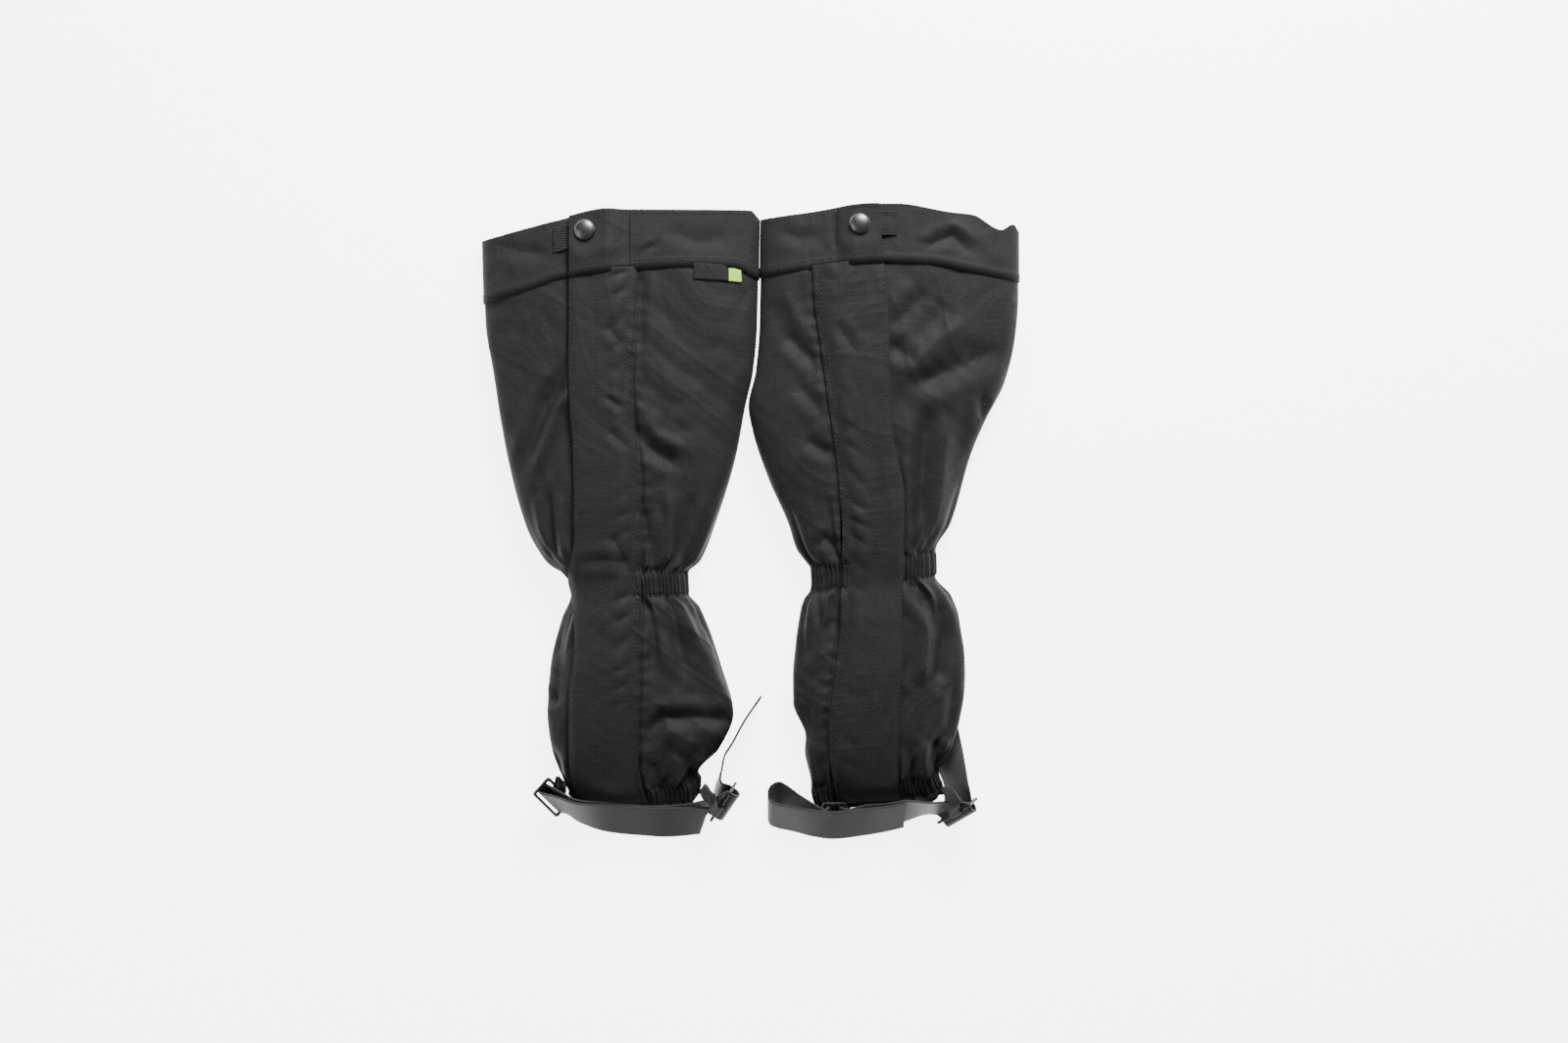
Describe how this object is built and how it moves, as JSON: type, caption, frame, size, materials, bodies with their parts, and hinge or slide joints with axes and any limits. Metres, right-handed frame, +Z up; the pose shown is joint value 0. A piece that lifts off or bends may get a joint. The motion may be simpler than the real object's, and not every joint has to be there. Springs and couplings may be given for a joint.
{
  "type": "pair of gaiters",
  "caption": "Ripstop lower-leg gaiters laid flat, with elastic ankle, front storm flap closed by tape and a snapped cuff, and an adjustable instep strap held by slide buckles.",
  "frame": {"origin": "on the table, under the middle of the pair's bounding box", "axes": "+Z up from the table, +X across the pair towards the right-hand gaiter as seen from above, +Y from the hem towards the knee"},
  "size_m": [0.3816, 0.4504, 0.0402],
  "materials": {
    "ripstop": "coated ripstop nylon, matt",
    "elastic": "ribbed elastic",
    "closure_tape": "hook and loop pile",
    "anchor_webbing": "woven webbing",
    "strap": "coated fabric strap, satin",
    "buckle_plastic": "gloss black nylon",
    "snap_metal": "gunmetal",
    "hook_wire": "black coated wire",
    "label": "woven label, plain",
    "label_lime": "woven, lime green"
  },
  "bodies": {
    "right_gaiter": {"right_rear_panel": "ripstop", "right_front_panel": "ripstop", "right_underlap_panel": "ripstop", "right_cuff_band": "ripstop", "right_ankle_elastic": "elastic", "right_hem_elastic": "elastic", "right_loop_tape": "closure_tape", "right_snap_stud": "snap_metal", "right_snap_post": "snap_metal", "right_elastic_tab": "elastic", "right_lace_hook": "hook_wire"},
    "right_flap": {"right_storm_flap": "ripstop", "right_hook_tape": "closure_tape", "right_cuff_flap_end": "ripstop", "right_snap_cap": "snap_metal", "right_snap_socket": "snap_metal"},
    "right_stirrup": {"right_buckle_outer": "buckle_plastic", "right_buckle_inner": "buckle_plastic", "right_web_outer": "anchor_webbing", "right_web_inner": "anchor_webbing", "right_instep_strap": "strap"},
    "left_gaiter": {"left_rear_panel": "ripstop", "left_front_panel": "ripstop", "left_underlap_panel": "ripstop", "left_cuff_band": "ripstop", "left_ankle_elastic": "elastic", "left_hem_elastic": "elastic", "left_loop_tape": "closure_tape", "left_snap_stud": "snap_metal", "left_snap_post": "snap_metal", "left_elastic_tab": "elastic", "left_lace_hook": "hook_wire", "left_side_label": "label", "left_label_end": "label_lime"},
    "left_flap": {"left_storm_flap": "ripstop", "left_hook_tape": "closure_tape", "left_cuff_flap_end": "ripstop", "left_snap_cap": "snap_metal", "left_snap_socket": "snap_metal"},
    "left_stirrup": {"left_buckle_outer": "buckle_plastic", "left_buckle_inner": "buckle_plastic", "left_web_outer": "anchor_webbing", "left_web_inner": "anchor_webbing", "left_instep_strap": "strap"}
  },
  "joints": [
    {"name": "left_gaiter_slide", "type": "slide", "parent": "right_gaiter", "child": "left_gaiter", "axis": [-1, 0, 0], "range_m": [0, 0.15]},
    {"name": "left_flap_hinge", "type": "hinge", "parent": "left_gaiter", "child": "left_flap", "pos_m": [-0.08375, 0.01001, 0.0365], "axis": [-0.0111, 0.9999, 0], "range_deg": [0, 150]},
    {"name": "left_stirrup_hinge", "type": "hinge", "parent": "left_gaiter", "child": "left_stirrup", "pos_m": [-0.0851, -0.18749, 0.007], "axis": [-1, 0, 0], "range_deg": [0, 14]},
    {"name": "right_flap_hinge", "type": "hinge", "parent": "right_gaiter", "child": "right_flap", "pos_m": [0.06395, 0.01001, 0.0365], "axis": [0.015, -0.9999, 0], "range_deg": [0, 150]},
    {"name": "right_stirrup_hinge", "type": "hinge", "parent": "right_gaiter", "child": "right_stirrup", "pos_m": [0.0899, -0.18649, 0.0065], "axis": [-1, 0, 0], "range_deg": [0, 20]}
  ]
}
